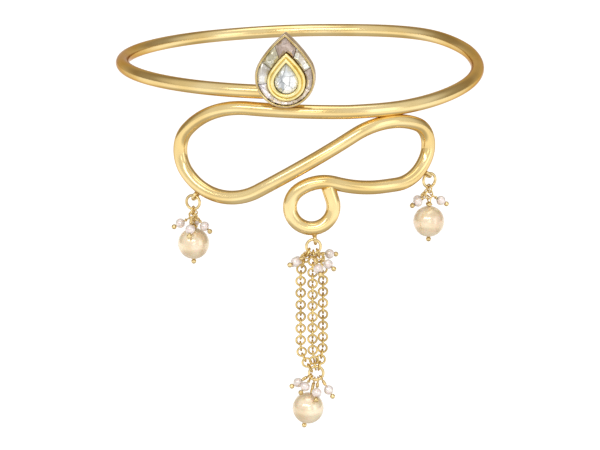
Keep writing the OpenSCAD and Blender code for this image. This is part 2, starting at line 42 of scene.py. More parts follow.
# Sizes in millimetres, as in the part's source
HOOP_W, WIRE_D, RUN_DROP, SCROLL_W, BITE = 92, 3.3, 4.9, 64.8, 0.25
SETTING_W, SETTING_H, PLATE_T, RIM_H, SIDE_TAPER = 13.9, 17.2, 0.9, 2.4, 0.8
RIM_W = 0.42  # thinner than the solid rim, whose lip is rubbed down over the stones
COLLAR_W, COLLAR_L, BAND, COLLAR_RISE, STONE_GAP = 8.8, 11.1, 1.65, 1.0, 0.1
EYE_D, EYE_WIRE, RING_D, RING_WIRE = 2.7, 0.7, 4.0, 0.65
PEARL_D, PEARL_DROP, SEED_D = 7.5, 10.1, 2.3
PIN_WIRE, LOOP_D, BALL_D, COIL_D = 0.32, 1.7, 1.2, 1.8
TASSEL_L, TASSEL_W, TASSEL_T, TASSEL_SWAY, TASSEL_PEARL_DROP = 31.2, 3.0, 1.8, 0.7, 8.9
LINK_D, LINK_WIRE, HANG_GAP = 2.4, 0.38, 0.11

WIRE_R = WIRE_D / 2
ARM_R = (HOOP_W - WIRE_D) / 2

# Height of the hoop round the arm: degrees from the front, share of RUN_DROP
HOOP_RISE = [
    (-4, 0), (60, 0), (150, 0), (190, 0.14), (228, 0.34), (252, 0.1), (270, -0.22),
    (298, -0.64), (325, -0.97), (345, -1), (400, -1)]
END_DEG = -1.5  # the wire's upper end, behind the setting
SCROLL_START = 0.181 * SCROLL_W
START_HEADING = 178
DIAGONAL = 3
# Bends of the scroll: straight run and radius as shares of SCROLL_W, and turn
SCROLL = [
    (0.369, 0.339, 48), (0, 0.113, 87), (0, 0.236, 77), (0, 0.3, -53), (0, 0.092, -96),
    (0, 0.161, -60), (0.062, 0.582, -18), (0, 0.149, 53), (0, 0.079, 252), (0.035, 0.3, 4)]
DIAGONAL_HEADING = START_HEADING + sum(row[2] for row in SCROLL[:3]) - 360


# Route of the wire
def arm_deg(s):
    return degrees(s / ARM_R)


def on_arm(s, z):
    return Vector((ARM_R * sin(s / ARM_R), -ARM_R * cos(s / ARM_R), z))


def turn_x(deg):
    return Matrix.Rotation(radians(deg), 4, "X")


def turn_y(deg):
    return Matrix.Rotation(radians(deg), 4, "Y")


def turn_z(deg):
    return Matrix.Rotation(radians(deg), 4, "Z")


def move(x, y, z):
    return Matrix.Translation((x, y, z))


def arm_place(s, z):
    return Matrix.Translation(on_arm(s, z)) @ turn_z(arm_deg(s))


def smooth(x, rows):
    """A smooth curve through rows of place and value."""
    i = next((k for k in range(len(rows) - 1) if x <= rows[k + 1][0]), len(rows) - 2)

    def slope(k):
        a, b = rows[max(k - 1, 0)], rows[min(k + 1, len(rows) - 1)]
        return (b[1] - a[1]) / (b[0] - a[0])
    a, b = rows[i], rows[i + 1]
    w = b[0] - a[0]
    u = (x - a[0]) / w
    return (a[1] * (1 + 2 * u) * (1 - u) ** 2 + slope(i) * w * u * (1 - u) ** 2
            + b[1] * u * u * (3 - 2 * u) + slope(i + 1) * w * u * u * (u - 1))


def step_end(p, run, radius, turn):
    """Place and heading after a straight run and then a bend."""
    x, z, h = p
    a, b = radians(h), radians(h + turn)
    side = 1 if turn > 0 else -1 if turn < 0 else 0
    return (x + run * cos(a) + side * radius * (sin(b) - sin(a)),
            z + run * sin(a) - side * radius * (cos(b) - cos(a)), h + turn)


def row_start(i):
    p = (SCROLL_START, -RUN_DROP, START_HEADING)
    for k in range(i):
        p = step_end(p, row_run(k), SCROLL[k][1] * SCROLL_W, SCROLL[k][2])
    return p


def row_run(i):
    if i != DIAGONAL:
        return SCROLL[i][0] * SCROLL_W
    h = radians(DIAGONAL_HEADING)
    below_run = -RUN_DROP - WIRE_D + BITE
    return (below_run - row_start(i)[1] - SCROLL[i][1] * SCROLL_W * (1 - cos(h))) / sin(h)


def bend_at(i, share):
    return step_end(row_start(i), row_run(i), SCROLL[i][1] * SCROLL_W, SCROLL[i][2] * share)


def wire_route():
    """The wire's middle line, about every half millimetre."""
    last = 360 - arm_deg(SCROLL_START)
    steps = 520
    flat = [(-radians(a) * ARM_R, RUN_DROP * smooth(a, HOOP_RISE))
            for a in (END_DEG + (last - END_DEG) * k / steps for k in range(steps + 1))]
    for i, (_, radius, turn) in enumerate(SCROLL):
        run = row_run(i)
        flat += [step_end(row_start(i), run * k / 30, 0, 0)[:2] for k in range(1, 31) if run]
        flat += [bend_at(i, k / 48)[:2] for k in range(1, 49)]
    return [on_arm(*p) for p in flat]


def resampled(points, distances):
    """Points at these distances along a line of straight steps."""
    out, walked, i = [], 0.0, 0
    for d in distances:
        while i < len(points) - 2 and walked + (points[i + 1] - points[i]).length < d:
            walked += (points[i + 1] - points[i]).length
            i += 1
        step = points[i + 1] - points[i]
        out.append(points[i] + step * ((d - walked) / step.length))
    return out


# Meshes, gathered in millimetres
def circle(n):
    return [2 * pi * k / n for k in range(n)]


def polar(r, a, z):
    return Vector((r * cos(a), r * sin(a), z))


class Shape:
    def __init__(self):
        self.points, self.faces, self.uvs = [], [], []

    def skin(self, rows, place=None, closed=False, along=None):
        """Faces between rows of points that each run round the shape."""
        n, start = len(rows[0]), len(self.points)
        for row in rows:
            self.points += [place @ p if place else p for p in row]
        along = along or list(range(len(rows)))
        spans = len(rows) if closed else len(rows) - 1
        for i in range(spans):
            j = (i + 1) % len(rows)
            here, there = start + i * n, start + j * n
            u0, u1 = along[i], along[j] if j else along[i] + 1
            for k in range(n):
                m = (k + 1) % n
                v0, v1 = k / n, (k + 1) / n
                self.faces.append([here + k, here + m, there + m, there + k])
                self.uvs += [(u0, v0), (u0, v1), (u1, v1), (u1, v0)]
        if not closed:
            final = start + (len(rows) - 1) * n
            for base, order in ((start, range(n - 1, -1, -1)), (final, range(n))):
                self.faces.append([base + k for k in order])
                self.uvs += [(0, k / n) for k in range(n)]

    def tube(self, points, radii, up, sides=12, place=None):
        """A tube through points; up gives each point's own upward direction."""
        rows, along, walked = [], [], 0.0
        last = len(points) - 1
        for i, p in enumerate(points):
            t = (points[min(i + 1, last)] - points[max(i - 1, 0)]).normalized()
            b = t.cross(up(p)).normalized()
            n = b.cross(t)
            r = radii[i] if isinstance(radii, list) else radii
            rows.append([p + r * (n * cos(a) + b * sin(a)) for a in circle(sides)])
            walked += (p - points[i - 1]).length if i else 0
            along.append(walked)
        self.skin(rows, place, along=along)

    def torus(self, width, wire, place, around, sides):
        """A ring in its own XY plane."""
        big, r = (width - wire) / 2, wire / 2
        rows = [[polar(big + r * cos(b), a, r * sin(b)) for b in circle(sides)]
                for a in circle(around)]
        self.skin(rows, place, closed=True)

    def ball(self, radius, place):
        rows = 14
        pole = 0.02  # share of the radius left open at the poles, which a small face closes
        lat = [(max(sin(pi * i / rows), pole), -cos(pi * i / rows)) for i in range(rows + 1)]
        self.skin([[polar(radius * s, a, radius * c) for a in circle(20)] for s, c in lat], place)

    def blob(self, a, b, ra, rb, place):
        """A smooth bead of solder between two places."""
        axis = (b - a).normalized()
        side = axis.orthogonal().normalized()
        other = axis.cross(side)
        rows, steps, pole = [], 6, 0.03
        for end, r, first in ((a, ra, -90), (b, rb, 0)):
            for lat in (radians(first + 90 * k / steps) for k in range(steps + 1)):
                c, s = max(cos(lat), pole) * r, sin(lat) * r
                rows.append([end + axis * s + c * (side * cos(a) + other * sin(a))
                             for a in circle(20)])
        self.skin(rows, place)

    def piece(self, name, finish, slot, nodes, crease=0, wobble=0.0):
        """The shape as a finished piece; wobble is how far its skin is dented, in millimetres."""
        mesh = bpy.data.meshes.new(name)
        points = self.points
        if wobble:
            dents_per_mm = 0.35
            points = [p + noise.noise_vector(p * dents_per_mm) * wobble for p in points]
        mesh.from_pydata([p * MM for p in points], [], self.faces)
        uv = mesh.uv_layers.new(name="Along")
        uv.data.foreach_set("uv", [c for pair in self.uvs for c in pair])
        return dress(mesh, name, finish, nodes, crease)


def dress(mesh, name, finish, nodes, crease):
    """A mesh in metres as a finished piece on the armlet's one body.

    Edges sharper than crease degrees stay sharp; with a crease of 0 every face is flat.
    """
    bm = bmesh.new()
    bm.from_mesh(mesh)
    bmesh.ops.recalc_face_normals(bm, faces=bm.faces)
    bm.to_mesh(mesh)
    bm.free()
    mesh.polygons.foreach_set("use_smooth", [crease > 0] * len(mesh.polygons))
    if crease:
        mesh.set_sharp_from_angle(angle=radians(crease))
    mesh.materials.clear()
    mesh.materials.append(finish)
    piece = bpy.data.objects.new(name, mesh)
    bpy.context.scene.collection.objects.link(piece)
    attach(piece, "root")
    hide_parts(*nodes)
    return piece


# Nodes
class Value:
    """A number in a node tree; sums and products of it add the nodes they need."""

    def __init__(self, nodes, socket):
        self.nodes, self.socket = nodes, socket

    def math(self, operation, *values):
        node = self.nodes.add("ShaderNodeMath", {"operation": operation}, dict(enumerate(values)))
        return Value(self.nodes, node.outputs[0])

    def __add__(self, other): return self.math("ADD", self, other)
    def __radd__(self, other): return self.math("ADD", other, self)
    def __sub__(self, other): return self.math("SUBTRACT", self, other)
    def __rsub__(self, other): return self.math("SUBTRACT", other, self)
    def __mul__(self, other): return self.math("MULTIPLY", self, other)
    def __rmul__(self, other): return self.math("MULTIPLY", other, self)

    def between(self, low, high):
        """0 below low and 1 above high, smooth in between."""
        node = self.nodes.add("ShaderNodeMapRange", {"interpolation_type": "SMOOTHSTEP"},
                              {"Value": self, "From Min": low, "From Max": high})
        return Value(self.nodes, node.outputs[0])


class Nodes:
    """A node tree; each node comes from add, with its settings and what its sockets get."""

    def __init__(self, tree):
        self.tree = tree

    def add(self, kind, settings=None, sockets=None):
        node = self.tree.nodes.new(kind)
        for key, value in (settings or {}).items():
            setattr(node, key, value)
        for key, value in (sockets or {}).items():
            self.feed(node.inputs[key], value)
        return node

    def feed(self, socket, value):
        if isinstance(value, Value):
            self.tree.links.new(value.socket, socket)
        elif isinstance(value, bpy.types.NodeSocket):
            self.tree.links.new(value, socket)
        else:
            socket.default_value = value


class Finish(Nodes):
    """A material on Blender's main shader, with patterns in the object's own coordinates."""

    def __init__(self, name, **constants):
        self.material = bpy.data.materials.new(name)
        self.material.use_nodes = True
        super().__init__(self.material.node_tree)
        self.shader = next(n for n in self.tree.nodes if n.type == "BSDF_PRINCIPLED")
        self.set(**constants)
        self.place = self.add("ShaderNodeTexCoord").outputs["Object"]

    def set(self, **sockets):
        for key, value in sockets.items():
            if isinstance(value, tuple):
                value = (*value, 1)
            self.feed(self.shader.inputs[key.replace("_", " ")], value)

    def vector(self, operation, a, b):
        return self.add("ShaderNodeVectorMath", {"operation": operation}, {0: a, 1: b}).outputs[0]

    def noise(self, per_mm, detail, place=None, rough=0.5):
        """Soft noise with about per_mm patches a millimetre."""
        node = self.add("ShaderNodeTexNoise", None, {
            "Vector": place or self.place, "Scale": per_mm / MM,
            "Detail": detail, "Roughness": rough})
        return Value(self, node.outputs[0])

    def cells(self, per_mm, place):
        """Planes like a cut stone's: slope, two numbers for each plane and distance to edges."""
        sockets = {"Vector": place, "Scale": per_mm / MM}
        planes = self.add("ShaderNodeTexVoronoi", {"feature": "F1", "distance": "MANHATTAN"},
                          sockets)
        edges = self.add("ShaderNodeTexVoronoi", {"feature": "DISTANCE_TO_EDGE"}, sockets)
        split = self.add("ShaderNodeSeparateColor", None, {0: planes.outputs["Color"]})
        first, second = (Value(self, split.outputs[i]) for i in (0, 1))
        return Value(self, planes.outputs[0]), first, second, Value(self, edges.outputs[0])

    def warped(self, amount_mm, per_mm):
        """Object coordinates pushed about a little, so that patterns aren't regular."""
        wander = self.add("ShaderNodeTexNoise", None, {
            "Vector": self.place, "Scale": per_mm / MM, "Detail": 2.0})
        centred = self.vector("SUBTRACT", wander.outputs[1], (0.5, 0.5, 0.5))
        scaled = self.add("ShaderNodeVectorMath", {"operation": "SCALE"}, {
            0: centred, "Scale": amount_mm * MM})
        return self.vector("ADD", self.place, scaled.outputs[0])

    def stretched(self, factors, place=None):
        return self.vector("MULTIPLY", place or self.place, factors)

    def blend(self, share, a, b):
        """Colour a where share is 0 and b where it is 1."""
        node = self.add("ShaderNodeMix", {"data_type": "RGBA"})
        self.feed(node.inputs[0], share)
        for socket, colour in ((node.inputs[6], a), (node.inputs[7], b)):
            self.feed(socket, (*colour, 1) if isinstance(colour, tuple) else colour)
        return node.outputs[2]

    def bump(self, height, depth_mm, strength):
        node = self.add("ShaderNodeBump", None, {
            "Height": height, "Distance": depth_mm * MM, "Strength": strength})
        self.set(Normal=node.outputs[0])


# Finishes
def gold(name, deep, body, light, edge, rough, grain_mm=0.004):
    """Cast and polished gold: cloudy tone, fine rubbing marks and shallow dents."""
    f = Finish(name, Metallic=1.0, Specular_Tint=edge, Coat_Weight=0.25, Coat_Roughness=0.08)
    cloud = f.noise(0.35, 4)
    fine = f.noise(5.0, 2)
    rub = f.noise(1.6, 5, f.stretched((1.0, 1.0, 7.0)), 0.65)
    tone = f.blend(cloud.between(0.32, 0.62), deep, body)
    f.set(Base_Color=f.blend(rub.between(0.5, 0.75) * 0.4, tone, light),
          Roughness=rough + cloud.between(0.35, 0.7) * 0.05 + rub.between(0.45, 0.8) * 0.05)
    f.bump(rub * 0.6 + fine * 0.4 + cloud * 2, grain_mm * 2.5, 0.6)
    return f.material


def wire_gold(name):
    """Drawn wire, satin polished: faint marks run along the wire, wear lies in long patches."""
    f = Finish(name, Metallic=1.0, Specular_Tint=(0.50, 0.28, 0.09),
               Coat_Weight=0.25, Coat_Roughness=0.16)
    along = f.add("ShaderNodeUVMap", {"uv_map": "Along"}).outputs[0]
    draw = f.noise(0.001, 5, f.stretched((0.22, 30.0, 1.0), along), 0.6)
    wear = f.noise(0.001, 2, f.stretched((0.07, 2.0, 1.0), along))
    cloud = f.noise(0.07, 2)
    scuff = f.noise(1.8, 3, f.warped(0.6, 0.5), 0.6)
    tone = f.blend(cloud.between(0.35, 0.65), (0.80, 0.58, 0.23), (0.91, 0.71, 0.34))
    tone = f.blend(wear.between(0.4, 0.75) * 0.4, tone, (0.97, 0.82, 0.50))
    f.set(Base_Color=f.blend(draw.between(0.55, 0.85) * 0.12, tone, (0.66, 0.44, 0.12)),
          Roughness=0.15 + wear.between(0.35, 0.7) * 0.04 + draw.between(0.4, 0.8) * 0.03
          + scuff.between(0.55, 0.85) * 0.03)
    f.bump(draw * 0.4 + scuff * 0.1, 0.003, 0.35)
    return f.material


def polki(name, shade, body, light, streak, lit=0.5):
    """Flat uncut diamond on foil: broad tinted planes, cloudy inside, thin dark flaws; painted
    reflections make each plane darker or lighter and draw dark lines at the plane edges.
    """
    f = Finish(name, IOR=1.9, Coat_Roughness=0.03)
    planes, per_plane, _, edges = f.cells(0.5, f.warped(0.5, 0.5))
    cloud = f.noise(0.55, 4)
    flaw = f.noise(1.1, 4, f.stretched((1.0, 1.0, 0.3)), 0.65)
    # Painted reflection of the foil: each plane takes its own share between the shade and body
    # colours
    tone = f.blend(per_plane.between(0.1, 0.75), shade, body)
    tone = f.blend(cloud.between(0.45, 0.68) * lit, tone, light)
    tone = f.blend(flaw.between(0.6, 0.7) * streak, tone, tuple(c * 0.3 for c in shade))
    # Painted reflection: dark lines along the plane edges
    dark = (1 - edges.between(0.006, 0.05)) * 0.4
    f.set(Base_Color=f.blend(dark, tone, tuple(c * 0.42 for c in shade)),
          Metallic=per_plane.between(0.2, 0.9) * 0.7, Coat_Weight=0.4 + cloud * 0.3,
          Roughness=0.07 + cloud.between(0.4, 0.7) * 0.14)
    f.bump(planes + cloud * 0.25, 0.45, 0.8)
    return f.material


def clear_stone(name):
    """Clear pear-cut stone on foil: its white, blue-grey and dark planes and thin dark facet lines
    are painted reflections.
    """
    f = Finish(name, IOR=2.0, Coat_Roughness=0.01)
    planes, first, second, edges = f.cells(0.42, f.warped(0.5, 0.4))
    cloud = f.noise(0.5, 3)
    # Painted reflections: planes at random between blue-grey and white, and a few half-way to near
    # black
    tone = f.blend(first.between(0.2, 0.7), (0.62, 0.65, 0.66), (0.95, 0.96, 0.96))
    tone = f.blend(second.between(0.8, 0.9) * 0.5, tone, (0.16, 0.18, 0.21))
    tone = f.blend(cloud.between(0.5, 0.7) * 0.5, tone, (0.98, 0.96, 0.94))
    # Painted reflection: dark lines along the facet edges
    f.set(Base_Color=f.blend((1 - edges.between(0.01, 0.045)) * 0.7, tone, (0.16, 0.17, 0.19)),
          Metallic=second.between(0.3, 0.8) * 0.55, Coat_Weight=0.9 - cloud * 0.2,
          Roughness=0.04 + cloud * 0.06)
    f.bump(planes, 0.35, 0.6)
    return f.material


def pearl(name, shade, body, light, blush, spots=0.22):
    """Nacre: a soft body colour in drifting patches, rosy overtone, faint growth marks."""
    f = Finish(name, IOR=1.6, Coat_Roughness=0.07, Coat_IOR=1.7,
               Subsurface_Weight=0.1, Subsurface_Scale=0.001,
               Sheen_Weight=0.15, Sheen_Roughness=0.3, Sheen_Tint=blush)
    patches = f.noise(spots, 2, f.warped(1.5, 0.2))
    rosy = f.noise(spots * 1.5, 2)
    growth = f.noise(1.1, 4, f.stretched((1.0, 1.0, 2.4)), 0.5)
    tone = f.blend(patches.between(0.3, 0.68), shade, body)
    tone = f.blend(rosy.between(0.45, 0.7) * 0.4, tone, blush)
    f.set(Base_Color=f.blend(growth.between(0.5, 0.8) * 0.12, tone, light),
          Metallic=0.3 + patches.between(0.4, 0.7) * 0.1, Coat_Weight=0.8 - growth * 0.2,
          Roughness=0.22 + growth.between(0.35, 0.8) * 0.03)
    f.bump(growth * 0.3 + patches, 0.008, 0.3)
    return f.material


WIRE = wire_gold("satin_wire_gold")
RIM = gold("champagne_rim", (0.50, 0.38, 0.23), (0.70, 0.57, 0.39), (0.86, 0.77, 0.60),
           edge=(0.5, 0.38, 0.24), rough=0.17)
BRIGHT = gold("bright_collar_gold", (0.84, 0.68, 0.24), (0.97, 0.84, 0.42), (1.0, 0.95, 0.68),
              edge=(0.7, 0.52, 0.2), rough=0.15)
# Darker deep and body tones than the other golds: painted shade, standing in for the shade between
# the chain's links
CHAIN_GOLD_SHADED = gold("chain_gold_painted_shade", (0.52, 0.36, 0.12), (0.82, 0.62, 0.25), (1.0, 0.86, 0.52),
             edge=(0.6, 0.38, 0.12), rough=0.16, grain_mm=0.002)
# Deep tone lowered: partly painted shade for the dark gaps between the small parts, partly the
# gold's own tone
PIN = gold("pin_gold_part_painted_shade", (0.62, 0.45, 0.19), (0.86, 0.68, 0.34), (1.0, 0.87, 0.60),
           edge=(0.6, 0.4, 0.16), rough=0.16, grain_mm=0.002)
CLEAR = clear_stone("clear_pear_stone")
# Border stones round the setting: shade, body and light colours, flaws, share of light
POLKI = [
    polki("polki_mint", (0.52, 0.38, 0.26), (0.72, 0.73, 0.66), (0.92, 0.95, 0.90), 0.3),
    polki("polki_rose", (0.30, 0.21, 0.17), (0.50, 0.37, 0.31), (0.80, 0.70, 0.64), 0.5, 0.45),
    polki("polki_olive", (0.36, 0.33, 0.20), (0.62, 0.58, 0.44), (0.92, 0.91, 0.84), 0.4),
    polki("polki_sage", (0.42, 0.38, 0.33), (0.76, 0.74, 0.70), (0.93, 0.93, 0.93), 0.4, 0.7),
    polki("polki_lilac", (0.34, 0.30, 0.33), (0.80, 0.75, 0.78), (0.96, 0.94, 0.96), 0.9, 0.7),
    polki("polki_blush", (0.62, 0.50, 0.44), (0.92, 0.82, 0.76), (0.98, 0.94, 0.92), 0.3, 0.7),
    polki("polki_peach", (0.48, 0.36, 0.26), (0.86, 0.74, 0.62), (0.97, 0.91, 0.84), 0.4, 0.7),
    polki("polki_stone", (0.42, 0.33, 0.27), (0.72, 0.63, 0.57), (0.90, 0.86, 0.84), 0.4, 0.6)]
GOLDEN = pearl("golden_pearl_nacre", (0.74, 0.57, 0.35), (0.95, 0.81, 0.57), (1.0, 0.94, 0.84),
               blush=(0.95, 0.72, 0.58))
WHITE = pearl("white_pearl_nacre", (0.74, 0.65, 0.60), (0.90, 0.83, 0.79), (1.0, 0.98, 0.96),
              blush=(0.92, 0.76, 0.74), spots=0.6)


# Wire, eyes and solder
def build_wire():
    route = wire_route()
    whole = sum((b - a).length for a, b in zip(route, route[1:]))
    tip, step = 0.4, 0.8  # rounding of the wire's ends, and length of a face along it
    ends = [0, 0.01, 0.03, 0.07, 0.13, 0.21, 0.3]
    steps = int((whole - 2 * tip) / step)
    distances = (ends + [tip + (whole - 2 * tip) * k / steps for k in range(steps + 1)]
                 + [whole - d for d in ends[::-1]])

    def radius(d):
        near = min(d, whole - d) / tip
        return WIRE_R - tip * (1 - sqrt(max(1 - (1 - near) ** 2, 0)) if near < 1 else 0)
    shape = Shape()
    shape.tube(resampled(route, distances), [radius(d) for d in distances],
               lambda p: Vector((p.x, p.y, 0)), 40)
    shape.piece("wire", WIRE, "gold", ["armlet_wire"], crease=60)


EYE_R, RING_R = (EYE_D - EYE_WIRE) / 2, (RING_D - RING_WIRE) / 2
EYE_REACH = WIRE_R + EYE_R + EYE_WIRE / 2 - BITE


def eye_out(at):
    h = bend_at(*at)[2]
    return h if SCROLL[at[0]][2] > 0 else h + 180


def eye_centre(at):
    s, z, _ = bend_at(*at)
    o = radians(eye_out(at))
    return on_arm(s, z) + turn_z(arm_deg(s)).to_3x3() @ (Vector((sin(o), 0, -cos(o))) * EYE_REACH)


LEFT_EYE, RIGHT_EYE, TASSEL_EYE = (2, 0.24), (5, 0.25), (8, 0.5936)


def build_eyes():
    shape = Shape()
    for at in (LEFT_EYE, RIGHT_EYE, TASSEL_EYE):
        s, z, _ = bend_at(*at)
        place = arm_place(s, z) @ turn_y(-eye_out(at))
        shape.torus(EYE_D, EYE_WIRE + 0.12, place @ move(0, 0, -EYE_REACH) @ turn_y(90), 48, 18)
        # A wedge of solder between the wire and the eye
        shape.blob(Vector((0, 0, -WIRE_R * 0.68)), Vector((0, 0, -WIRE_R * 1.05)),
                   EYE_WIRE * 1.6, EYE_WIRE * 0.85, place)
    shape.piece("eyes", PIN, "gold", ["armlet_wire"], wobble=0.03, crease=60)
    shape = Shape()
    # Under the setting, and where the right bend touches the hoop
    for x in (-0.3, -0.15, 0.02):
        shape.blob(Vector((0, 0, 0)), Vector((0, -WIRE_R * 0.75, 0)), WIRE_R * 0.7, WIRE_R * 0.6,
                   arm_place(SETTING_S + x * SETTING_W, 0))
    s, z, _ = bend_at(DIAGONAL, DIAGONAL_HEADING / -SCROLL[DIAGONAL][2])
    for x in (-0.5, 0.5):
        shape.blob(Vector((x * WIRE_R, 0, -WIRE_R * 0.4)), Vector((x * WIRE_R, 0, WIRE_R * 0.4)),
                   WIRE_R * 0.3, WIRE_R * 0.3, arm_place(s, (z - RUN_DROP) / 2))
    shape.piece("solder", WIRE, "gold", ["armlet_wire"], wobble=0.05, crease=60)


# Stone setting
FOOT, COLLAR_FOOT = SETTING_W / 2, COLLAR_W / 2
TIP, COLLAR_TIP = SETTING_H - FOOT, COLLAR_L - COLLAR_FOOT
SETTING_S = -0.068 * HOOP_W / 2
SETTING_LOW = -RUN_DROP + WIRE_R + 0.45
COLLAR_OFF = Vector((0.025 * SETTING_W, -0.063 * SETTING_W))
SEAT = PLATE_T + STONE_GAP
STONE_TOP = PLATE_T + RIM_H - 0.35
COLLAR_TOP = PLATE_T + RIM_H + COLLAR_RISE
SETTING_PLACE = (arm_place(SETTING_S, SETTING_LOW + FOOT) @ move(0, BITE - WIRE_R, 0) @ turn_x(90))
COLLAR_PLACE = SETTING_PLACE @ move(COLLAR_OFF.x, COLLAR_OFF.y, 0)


def to_circle(origin, way, centre, r):
    v = origin - centre
    b = v.dot(way)
    return -b + sqrt(max(b * b - v.dot(v) + r * r, 0))


def pear_arcs(foot, tip):
    """Radius and centres of the two long arcs, which leave the round foot at a tangent."""
    r = (tip * tip + foot * foot * (1 - 2 * SIDE_TAPER)) / (2 * foot * (1 - SIDE_TAPER))
    rise = SIDE_TAPER * foot / tip
    across = sqrt(1 - rise * rise)
    out, down = (r - foot) * across, (foot - r) * rise
    return r, rise, Vector((-out, down)), Vector((out, down))


def pear_tip(foot, tip, inset):
    r, _, centre, _ = pear_arcs(foot, tip)
    return centre.y + sqrt((r - inset) ** 2 - centre.x ** 2)


def pear_point(foot, tip, inset, origin, deg):
    """Where a ray from inside meets the pear's outline."""
    way = Vector((cos(radians(deg)), sin(radians(deg))))
    r, rise, right, left = pear_arcs(foot, tip)
    low = to_circle(origin, way, Vector((0, 0)), foot - inset)
    if origin.y + low * way.y <= (foot - inset) * rise:
        return origin + way * low
    return origin + way * min(to_circle(origin, way, arc, r - inset) for arc in (right, left))


def pear_sweep(shape, foot, tip, profile, place, closed=False):
    """A profile of (inset, height) swept round a pear."""
    n = 160
    shape.skin([[Vector((*pear_point(foot, tip, inset, Vector((0, 0)), 90 + 360 * k / n), h))
                 for k in range(n)] for inset, h in profile], place, closed)


def build_setting():
    """Cup, thin gold line and collar: profiles of how far in from the edge, and how high."""
    top, w = PLATE_T + RIM_H, RIM_W
    cup = Shape()
    pear_sweep(cup, FOOT, TIP, [
        (5.5, 0), (4, 0), (2.5, 0), (1.2, 0), (0.5, 0), (0.36, 0), (0.3, 0.01), (0.1, 0.06),
        (0.02, 0.18), (0, 0.3), (0, top - 0.34), (0.02, top - 0.17), (0.06, top - 0.06),
        (w * 0.3, top), (w * 0.55, top + 0.01), (w * 0.75, top - 0.05), (w * 0.88, top - 0.14),
        (w * 0.96, top - 0.3), (w, PLATE_T + 0.05), (w + 0.08, PLATE_T)], SETTING_PLACE)
    cup.piece("setting_rim", RIM, "gold", ["armlet_wire"], wobble=0.03, crease=40)
    line = Shape()
    pear_sweep(line, FOOT, TIP, [
        (w - 0.1, top - 0.2), (w - 0.08, top - 0.05), (w - 0.03, top + 0.03),
        (w + 0.04, top + 0.02), (w + 0.08, top - 0.06), (w + 0.08, top - 0.4),
        (w - 0.04, top - 0.45)], SETTING_PLACE, closed=True)
    line.piece("setting_gold_line", BRIGHT, "gold", ["armlet_wire"], wobble=0.05, crease=50)
    collar = Shape()
    t = COLLAR_TOP
    pear_sweep(collar, COLLAR_FOOT, COLLAR_TIP, [
        (0.15, SEAT), (0.02, SEAT + 0.1), (0, SEAT + 0.3), (0, t - 0.84), (0.04, t - 0.7),
        (0.13, t - 0.61), (0.3, t - 0.58), (0.5, t - 0.6), (0.66, t - 0.7), (0.74, t - 0.86),
        (0.79, t - 0.86), (0.82, t - 0.5), (0.84, t - 0.2), (0.9, t - 0.07), (1.02, t), (1.24, t),
        (1.42, t - 0.05), (1.56, t - 0.18), (1.63, t - 0.4), (BAND, t - 0.7),
        (BAND, SEAT + 0.4)], COLLAR_PLACE)
    collar.piece("collar", BRIGHT, "bright_gold", ["centre_collar"], wobble=0.07, crease=50)


def build_centre_stone():
    """Facets between rings of points, whose insets and heights alternate round the stone."""
    n, t, middle = 28, COLLAR_TOP, Vector((0, 0))

    def ring(insets, heights):
        ins, highs = insets * n, heights * n
        return [Vector((*pear_point(COLLAR_FOOT, COLLAR_TIP, BAND + STONE_GAP + ins[k], middle,
                                    90 + 360 * k / n), highs[k])) for k in range(n)]
    stone = Shape()
    stone.skin([
        ring([0.9], [SEAT + 0.5]), ring([0], [t - 1.1]), ring([0], [t - 0.82]),
        ring([0.36, 0.5], [t - 0.44, t - 0.5]),
        ring([0.95, 1.0], [t - 0.15, t - 0.16])], COLLAR_PLACE)
    stone.piece("centre_stone_cut", CLEAR, "clear_stone", ["centre_stone"])


# Degrees at which the border stones meet, seen from the collar's middle
BORDER_CUTS = [30, 74, 108, 142, 187, 233, 287, 340]
BORDER_TIP = degrees(atan2(pear_tip(FOOT, TIP, RIM_W + STONE_GAP) - COLLAR_OFF.y, -COLLAR_OFF.x))


def border_point(deg, share):
    inner = COLLAR_OFF + pear_point(COLLAR_FOOT, COLLAR_TIP, -STONE_GAP * 1.8, Vector((0, 0)), deg)
    outer = pear_point(FOOT, TIP, RIM_W + STONE_GAP, COLLAR_OFF, deg)
    return inner + (outer - inner) * share


def build_border_stone(i):
    a, b = (BORDER_CUTS + [BORDER_CUTS[0] + 360])[i:i + 2]
    mid = BORDER_TIP if a < BORDER_TIP < b else (a + b) / 2
    inner_mid = 90 if a < 90 < b else (a + b) / 2
    near = degrees(STONE_GAP / 2 / (border_point(a, 0) - COLLAR_OFF).length)
    far = degrees(STONE_GAP / 2 / (border_point(a, 1) - COLLAR_OFF).length)

    def ring(trim, low, high, height, tilt=0.0):
        first, last = a + far + trim, b - far - trim
        start, end = a + near + trim, b - near - trim
        row = [border_point(start + (inner_mid - start) * k / 3, low) for k in range(3)]
        row += [border_point(inner_mid + (end - inner_mid) * k / 3, low) for k in range(4)]
        row += [border_point(last + (mid - last) * k / 3, high) for k in range(3)]
        row += [border_point(mid + (first - mid) * k / 3, high) for k in range(4)]
        return [Vector((p.x, p.y, height + tilt * (k % 7 - 3) / 3)) for k, p in enumerate(row)]
    w = b - a
    stone = Shape()
    lean = 0.07 * (-1) ** i
    stone.skin([
        ring(0, 0, 1, SEAT), ring(0, 0, 1, STONE_TOP - 0.42),
        ring(w * 0.012, 0.03, 0.97, STONE_TOP - 0.34),
        ring(w * 0.13, 0.22, 0.79, STONE_TOP - 0.04, lean * 0.4),
        ring(w * 0.24, 0.36, 0.66, STONE_TOP + 0.03, lean)], SETTING_PLACE)
    node = f"border_stone_{i + 1}"
    stone.piece(node + "_cut", POLKI[i], "polki", [node])


# Beads, pins and drops
LOOP_R, LINK_R = (LOOP_D - PIN_WIRE) / 2, (LINK_D - LINK_WIRE) / 2
WRAP_L, WRAP_D = 0.6, PIN_WIRE * 2.6
BORE_D = PIN_WIRE + 2 * HANG_GAP


